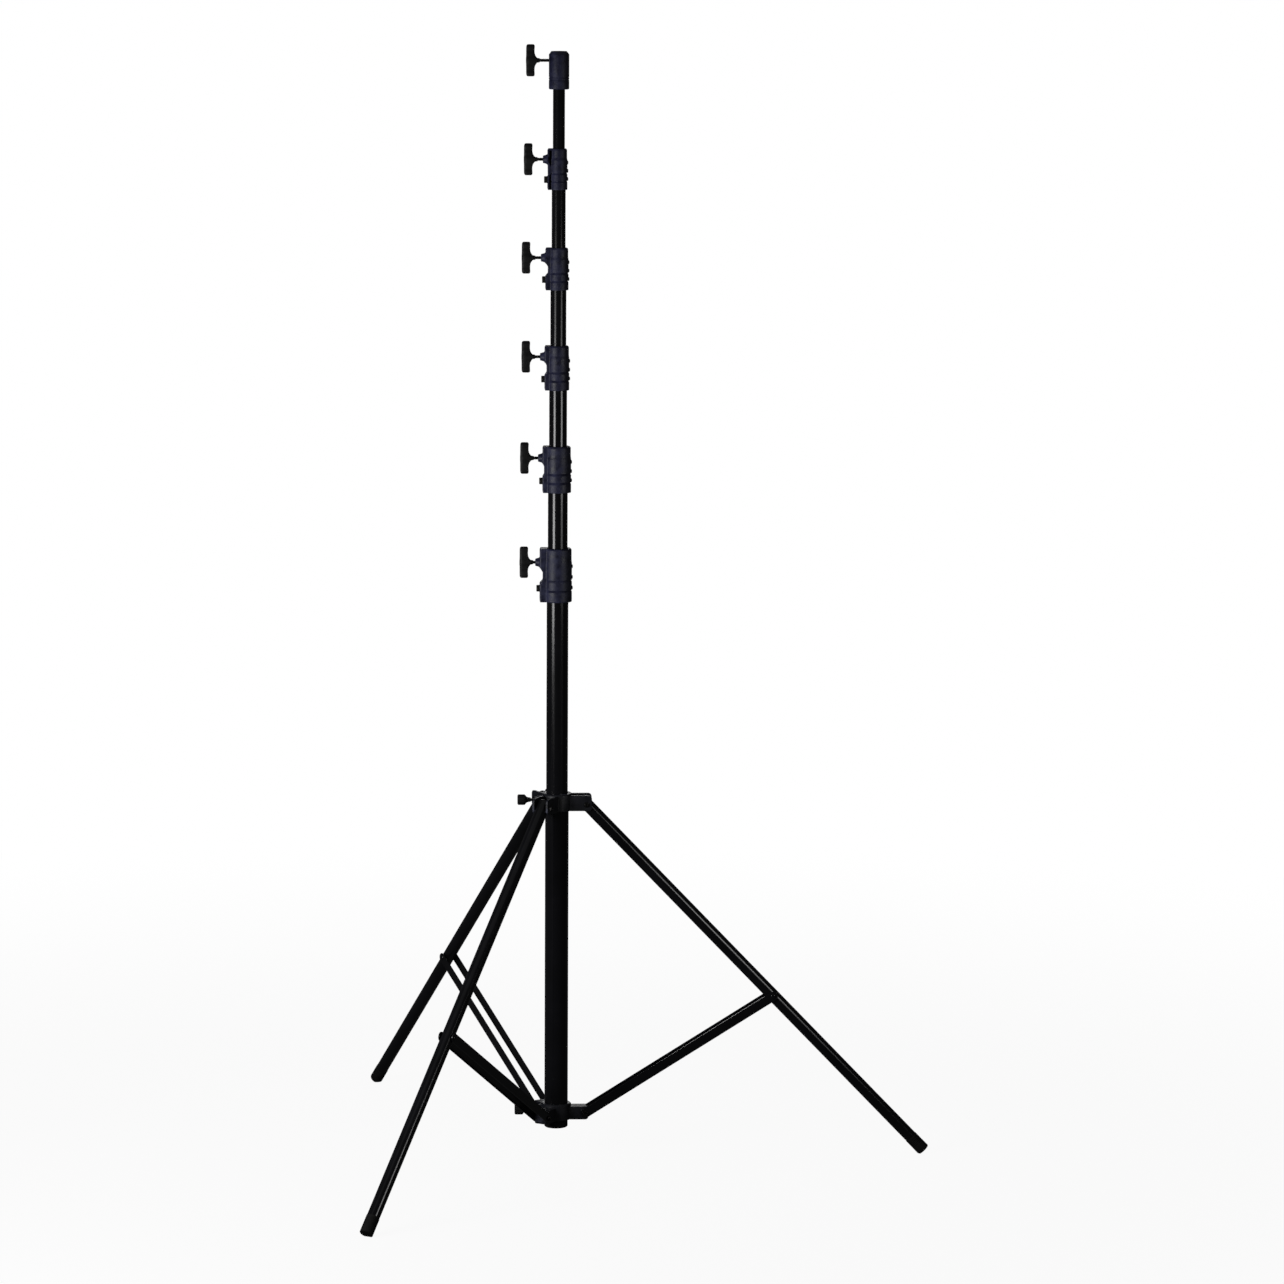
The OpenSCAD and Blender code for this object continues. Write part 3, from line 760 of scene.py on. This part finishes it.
HANDLE_DEPTH = 23 * MM
HANDLE_NECK = 12 * MM
HUB_SPREAD = 0.24  # as a share of half the bar's length
WAVE_DEPTH = 0.045
WAVES_IN_HALF = 2.5
SCALLOP_DEPTH = 1.5 * MM
END_ROUNDING = 5.0 * MM
WEB_DEPTH = 8.5 * MM  # how far the bar swells towards its neck
WEB_SPREAD = 8.5 * MM
BAR_POWER = 3.6  # of the superellipse of the bar's section
KNOB_NECK = 14 * MM
FLUTE_DEPTH = 0.085  # as a share of a knob's radius


def loft(bm, rings):
    """Joins rings of points, all of one length, and closes both ends."""
    loops = [[bm.verts.new(p) for p in ring] for ring in rings]
    for low, high in zip(loops, loops[1:]):
        for k in range(len(low)):
            n = (k + 1) % len(low)
            bm.faces.new((low[k], low[n], high[n], high[k]))
    bm.faces.new(list(reversed(loops[0])))
    bm.faces.new(loops[-1])


def superellipse(half_x, half_y, power, count):
    points = []
    for k in range(count):
        c, s = math.cos(TURN * k / count), math.sin(TURN * k / count)
        points.append((
            half_x * math.copysign(abs(c) ** (2 / power), c),
            half_y * math.copysign(abs(s) ** (2 / power), s),
        ))
    return points


def t_handle(name, node):
    """A moulded T-bar: full at the hub with a web to its neck, and scalloped towards its round ends."""
    low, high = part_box(node)
    centre = middle_of(node)
    half_length = (high.z - low.z) / 2
    half_width = (high.y - low.y) / 2
    reach = -low.x
    inner = reach - HANDLE_DEPTH
    rings = []
    steps = 48
    for k in range(steps + 1):
        t = -1 + 2 * k / steps
        along = math.copysign(1 - (1 - abs(t)) ** 1.7, t)
        end = max(0.0, 1 - abs(along) ** 14) ** 0.5
        end = max(end, 0.04)
        hub = math.exp(-(along / HUB_SPREAD) ** 2)
        wave = WAVE_DEPTH * math.cos(TURN * along * WAVES_IN_HALF) * (1 - hub)
        width = half_width * (0.80 + 0.20 * hub + wave) * (0.35 + 0.65 * end)
        scallop = SCALLOP_DEPTH * (1 - hub) * (0.5 - 0.5 * math.cos(TURN * (abs(along) - 0.1)))
        web = WEB_DEPTH * math.exp(-((along * half_length) / WEB_SPREAD) ** 2)
        start = inner + scallop - web + END_ROUNDING * (1 - end)
        finish = reach - 0.5 * MM * (1 - hub) - END_ROUNDING * (1 - end)
        depth = (finish - start) / 2
        middle = (finish + start) / 2
        rings.append([
            Vector((-(middle + a), b, centre.z + along * half_length))
            for a, b in superellipse(depth, width, BAR_POWER, 48)
        ])
    bm = bmesh.new()
    loft(bm, rings)
    place = outward(centre.z)
    neck = inner - HANDLE_NECK
    flare = rounded([
        (SCREW_HOLE, neck + 0.6 * MM), (5.0 * MM, neck), (5.6 * MM, neck + 3.0 * MM),
        (6.3 * MM, inner - 3.5 * MM),
        (8.6 * MM, inner + 1.5 * MM), (8.6 * MM, inner + 4 * MM),
    ], 1.6 * MM)
    lathe(bm, flare + [(SCREW_HOLE, inner + 4 * MM)], place, 56)
    cap = rounded([
        (0, reach - 1.6 * MM), (6.6 * MM, reach - 1.6 * MM), (6.6 * MM, reach - 0.05 * MM),
        (5.4 * MM, reach - 0.05 * MM), (4.8 * MM, reach - 0.7 * MM), (0, reach - 0.7 * MM)], 0.4 * MM)
    lathe(bm, cap, place, 48, closed=False)
    add_piece(bm, name, [node], crease=45)


def round_knob(name, node, lobes):
    """A fluted knob on a tapered neck, with a dished face."""
    low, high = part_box(node)
    radius = (high.y - low.y) / 2
    reach = -low.x
    start = -high.x
    shoulder = start + KNOB_NECK
    length = reach - shoulder

    def shape(angle, r, height):
        if r < radius * 0.8 or height < shoulder:
            return r
        flute = max(0.0, math.cos(lobes * angle)) ** 3
        return r * (1 - FLUTE_DEPTH * flute)

    body = [
        (SCREW_HOLE, start + 0.5 * MM), (5.5 * MM, start), (6.0 * MM, start + 5 * MM),
        (7.2 * MM, start + KNOB_NECK * 0.72),
        (radius - 1.6 * MM, shoulder + 0.1 * MM), (radius, shoulder + 2 * MM),
        (radius, shoulder + length * 0.5), (radius, reach - 2.2 * MM),
        (radius - 2.2 * MM, reach), (radius * 0.55, reach),
        (radius * 0.5, reach - 1.0 * MM), (0, reach - 1.0 * MM),
    ]
    profile = [(0, start + 0.5 * MM)] + rounded(body, 1.3 * MM)
    bm = bmesh.new()
    lathe(bm, profile, outward(middle_of(node).z), 120, closed=False, shape=shape)
    add_piece(bm, name, [node], crease=45)


def lock_screw(name, node):
    low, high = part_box(node)
    radius = (high.z - low.z) / 2
    bm = bmesh.new()
    threaded_rod(bm, outward(middle_of(node).z), radius, -high.x, -low.x)
    add_piece(bm, name, [node], crease=25)


for number in COLLAR_NUMBERS:
    make_collar_bolts(number, *make_collar(number))
    t_handle(f"lock_{number}_t_bar", f"lock_{number}_handle")
    lock_screw(f"lock_{number}_thread", f"lock_{number}_screw")
t_handle("head_lock_t_bar", "head_lock_handle")
lock_screw("head_lock_thread", "head_lock_screw")
round_knob("leg_lock_grip", "leg_lock_knob", 8)
lock_screw("leg_lock_thread", "leg_lock_screw")
round_knob("spider_lock_grip", "spider_lock_knob", 10)
lock_screw("spider_lock_thread", "spider_lock_screw")

# ---------------------------------------------------------------- head

SOCKET_RADIUS = 14.45 * MM
SOCKET_DEPTH = 62 * MM
SOCKET_WEB = 5 * MM
HEAD_BOLT_HEIGHT = 14 * MM
GRIP_RING_HEIGHTS = (24 * MM, 30 * MM)


def make_head():
    """The socket head: a turned casting with a coned top, two grip rings and a pad for its screw."""
    low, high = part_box("head_socket")
    height = high.z - low.z
    outer = size_of("head_socket").x / 2
    tube = size_of("riser_5_tube").x / 2
    floor = height - SOCKET_DEPTH

    def ring_at(z):
        return [(outer, z - 1.4 * MM), (outer - 0.9 * MM, z - 0.7 * MM),
                (outer - 0.9 * MM, z + 0.7 * MM), (outer, z + 1.4 * MM)]

    outside = rounded([
        (tube + 0.1 * MM, 0.8 * MM), (tube + 1.0 * MM, 0), (outer - 2 * MM, 0), (outer, 2 * MM),
        *ring_at(GRIP_RING_HEIGHTS[0]), *ring_at(GRIP_RING_HEIGHTS[1]),
        (outer, height - 8 * MM), (outer - 6 * MM, height), (SOCKET_RADIUS + 1.4 * MM, height),
        (SOCKET_RADIUS, height - 1.4 * MM), (SOCKET_RADIUS, floor), (0, floor),
    ], 0.6 * MM)
    recess = [(0, floor - SOCKET_WEB), (tube + 0.1 * MM, floor - SOCKET_WEB)]
    bm = bmesh.new()
    lathe(bm, recess + outside, Matrix.Translation((0, 0, low.z)), 128, closed=False)
    screw_z = middle_of("head_lock_screw").z
    pad = rounded([(0, outer - 4 * MM), (11 * MM, outer - 4 * MM), (10 * MM, outer - 0.3 * MM),
                   (8.6 * MM, outer - 0.02 * MM), (0, outer - 0.02 * MM)], 0.8 * MM)
    lathe(bm, pad, outward(screw_z), 48, closed=False)
    add_piece(bm, "head_casting", ["head_socket"], crease=32)

    bm = bmesh.new()
    side = math.copysign(1, middle_of("head_bolt").y)
    front = place_along(Vector((0, 0, low.z + HEAD_BOLT_HEIGHT)), Vector((0, side, 0)))
    socket_cap = [
        (0, outer - 0.5 * MM), (6 * MM, outer - 0.5 * MM),
        (6 * MM, outer + 1.0 * MM), (5.2 * MM, outer + 2.9 * MM),
        (2.6 * MM, outer + 2.9 * MM), (2.5 * MM, outer + 1.2 * MM), (0, outer + 1.0 * MM),
    ]
    lathe(bm, rounded(socket_cap, 0.4 * MM), front, 48, closed=False)
    add_piece(bm, "head_screw_cap", ["head_bolt"])


make_head()

# ---------------------------------------------------------------- legs, feet and struts

LEG_JOINTS = {n: JOINTS[f"leg_{n}_fold"] for n in LEG_NUMBERS}
STRUT_JOINTS = {n: JOINTS[f"strut_{n}_fold"] for n in LEG_NUMBERS}
LEG_RADIUS = 16 * MM
FOOT_RADIUS = LEG_RADIUS + 0.8 * MM
FOOT_LENGTH = 48 * MM
FOOT_RIBS = 5
RIB_START = 6 * MM
RIB_PITCH = 4.2 * MM
RIB_DEPTH = 0.75 * MM
BAR_HALF_WIDTH = 12 * MM
BAR_THICKNESS = 3 * MM
BAR_INNER = LEG_RADIUS + 1.5 * MM
JOINT_RIVET_RADIUS = 6.9 * MM
POST_RADIUS = 4.9 * MM  # the part of that rivet between a bar and the leg


def make_leg(number):
    node = f"leg_{number}_tube"
    top, bottom = ends_of(node)
    outer = LEG_RADIUS
    place = place_along(bottom, top - bottom)
    length = (top - bottom).length
    bm = bmesh.new()
    lathe(bm, tube_profile(outer, outer - LEG_WALL, 0, length), place, 80)
    plug = rounded([
        (0, length - 12 * MM), (outer - LEG_WALL, length - 12 * MM), (outer - LEG_WALL, length - 0.9 * MM),
        (outer - LEG_WALL - 2.5 * MM, length - 0.15 * MM), (0, length - 0.15 * MM)], 1.0 * MM)
    lathe(bm, plug, place, 64, closed=False)
    add_piece(bm, f"leg_{number}_skin", [node])


def make_foot(number):
    """A ribbed rubber tip, cut flat where it stands."""
    tube_top, tube_bottom = ends_of(f"leg_{number}_tube")
    down = (tube_bottom - tube_top).normalized()
    node = f"leg_{number}_foot"
    points = [Vector(v.co) for v in NODES[node].data.vertices]
    along = [(p - tube_bottom).dot(down) for p in points]
    start = min(along)
    outer = FOOT_RADIUS
    groove = outer - RIB_DEPTH
    profile = [(LEG_RADIUS + 0.05 * MM, start + 0.2 * MM), (outer - 0.7 * MM, start),
               (outer, start + 0.8 * MM)]
    for k in range(FOOT_RIBS):
        z = start + RIB_START + k * RIB_PITCH
        profile += [(outer, z), (groove, z + 0.5 * MM), (groove, z + 1.6 * MM), (outer, z + 2.1 * MM)]
    full = start + FOOT_LENGTH
    profile += [(outer, full - 1.2 * MM), (outer - 1.2 * MM, full), (0, full)]
    bm = bmesh.new()
    place = place_along(tube_bottom, down)
    lathe(bm, [(0, start + 0.3 * MM)] + rounded(profile, 0.5 * MM), place, 72, closed=False)
    sole = 0.02 * MM
    everything = bm.verts[:] + bm.edges[:] + bm.faces[:]
    cut = bmesh.ops.bisect_plane(
        bm, geom=everything, plane_co=(0, 0, sole), plane_no=(0, 0, -1), clear_outer=True)
    rim = [e for e in cut["geom_cut"] if isinstance(e, bmesh.types.BMEdge)]
    bmesh.ops.contextual_create(bm, geom=rim)
    add_piece(bm, f"leg_{number}_tip", [node], crease=40)


def joint_place(joint):
    return Vector(joint["pos_m"]), Vector(joint["axis"]).normalized()


def make_strut(number):
    """Two flat bars either side of the leg, with domed rivets and their posts at the upper pivot."""
    node = f"strut_{number}"
    pivot, tangent = joint_place(STRUT_JOINTS[number])
    top, bottom = ends_of(node)
    direction = (top - bottom).normalized()
    span = (top - bottom).length - 2 * BAR_HALF_WIDTH
    bm = bmesh.new()
    arc = 16
    outline = [(span + BAR_HALF_WIDTH * math.cos(a), BAR_HALF_WIDTH * math.sin(a))
               for a in [TURN * (-0.25 + 0.5 * k / arc) for k in range(arc + 1)]]
    outline += [(BAR_HALF_WIDTH * math.cos(a), BAR_HALF_WIDTH * math.sin(a))
                for a in [TURN * (0.25 + 0.5 * k / arc) for k in range(arc + 1)]]
    for side in (-1, 1):
        outward_side = tangent * side
        place = place_along(pivot + outward_side * BAR_INNER, outward_side, direction)
        prism(bm, outline, BAR_THICKNESS, place)
    add_piece(bm, f"strut_{number}_bars", [node], bevel=0.7 * MM, segments=3)
    bm = bmesh.new()
    spot = pivot + direction * span
    post_start = LEG_RADIUS + 0.7 * MM
    post_end = BAR_INNER + 0.1 * MM
    post = [(0, post_start), (POST_RADIUS, post_start), (POST_RADIUS, post_end), (0, post_end)]
    for side in (-1, 1):
        place = place_along(spot, tangent * side)
        face = BAR_INNER + BAR_THICKNESS
        rivet_head(bm, place, face - 0.1 * MM, JOINT_RIVET_RADIUS, 2.5 * MM, 0.8)
        lathe(bm, post, place, 40, closed=False)
    add_piece(bm, f"strut_{number}_rivets", [node])


for number in LEG_NUMBERS:
    make_leg(number)
    make_foot(number)
    make_strut(number)

# ---------------------------------------------------------------- leg collar and lower spider

CHEEK_OUTER = LEG_RADIUS + 6 * MM
SPIDER_GRIP = BAR_INNER + BAR_THICKNESS + 0.3 * MM
HINGE_PIN = 4 * MM
HINGE_WASHER = 7 * MM
HINGE_NUT = 6.4 * MM
CASTING_EDGE = 1.3 * MM


def casting_copy(bm, node):
    """Takes the CAD node's own shape, with its flat faces joined up again so its edges can be eased."""
    bm.from_mesh(NODES[node].data)
    bmesh.ops.remove_doubles(bm, verts=bm.verts, dist=1e-6)
    bmesh.ops.dissolve_limit(bm, angle_limit=math.radians(0.4), verts=bm.verts, edges=bm.edges)


def hinge_bolts(name, node, joints, grip):
    """Bolts through every hinge, each with a hexagon head on one side and a lock nut on the other."""
    pin = [(0, -grip), (HINGE_PIN, -grip), (HINGE_PIN, grip), (0, grip)]
    bm = bmesh.new()
    for joint in joints.values():
        spot, tangent = joint_place(joint)
        head_side = place_along(spot, tangent)
        nut_side = place_along(spot, -tangent)
        washer(bm, head_side, grip - 0.05 * MM, HINGE_WASHER, 1.05 * MM)
        hex_head(bm, head_side, grip + MM, HINGE_NUT, 4.9 * MM)
        washer(bm, nut_side, grip - 0.05 * MM, HINGE_WASHER, 1.05 * MM)
        lock_nut(bm, nut_side, grip + MM, HINGE_NUT, 4.9 * MM)
        lathe(bm, pin, head_side, 32, closed=False)
    add_piece(bm, name, [node])


def hinge_casting(node, joints, grip):
    """A hub casting and its bolts."""
    bm = bmesh.new()
    casting_copy(bm, node)
    # The hub wears the darker copy of the casting paint, which is painted shade.
    add_piece(bm, node + "_casting", [node], bevel=CASTING_EDGE, segments=3, paint=HUB_PAINT_WITH_PAINTED_SHADE)
    hinge_bolts(node + "_hardware", node + "_bolts", joints, grip)


hinge_casting("leg_collar", LEG_JOINTS, CHEEK_OUTER)
hinge_casting("lower_spider", STRUT_JOINTS, SPIDER_GRIP)

# ---------------------------------------------------------------- bushes and guides, as drawn in CAD

for node, thing in NODES.items():
    thing.data.materials.clear()
    thing.data.materials.append(MATERIALS[SLOT_OF[node]])
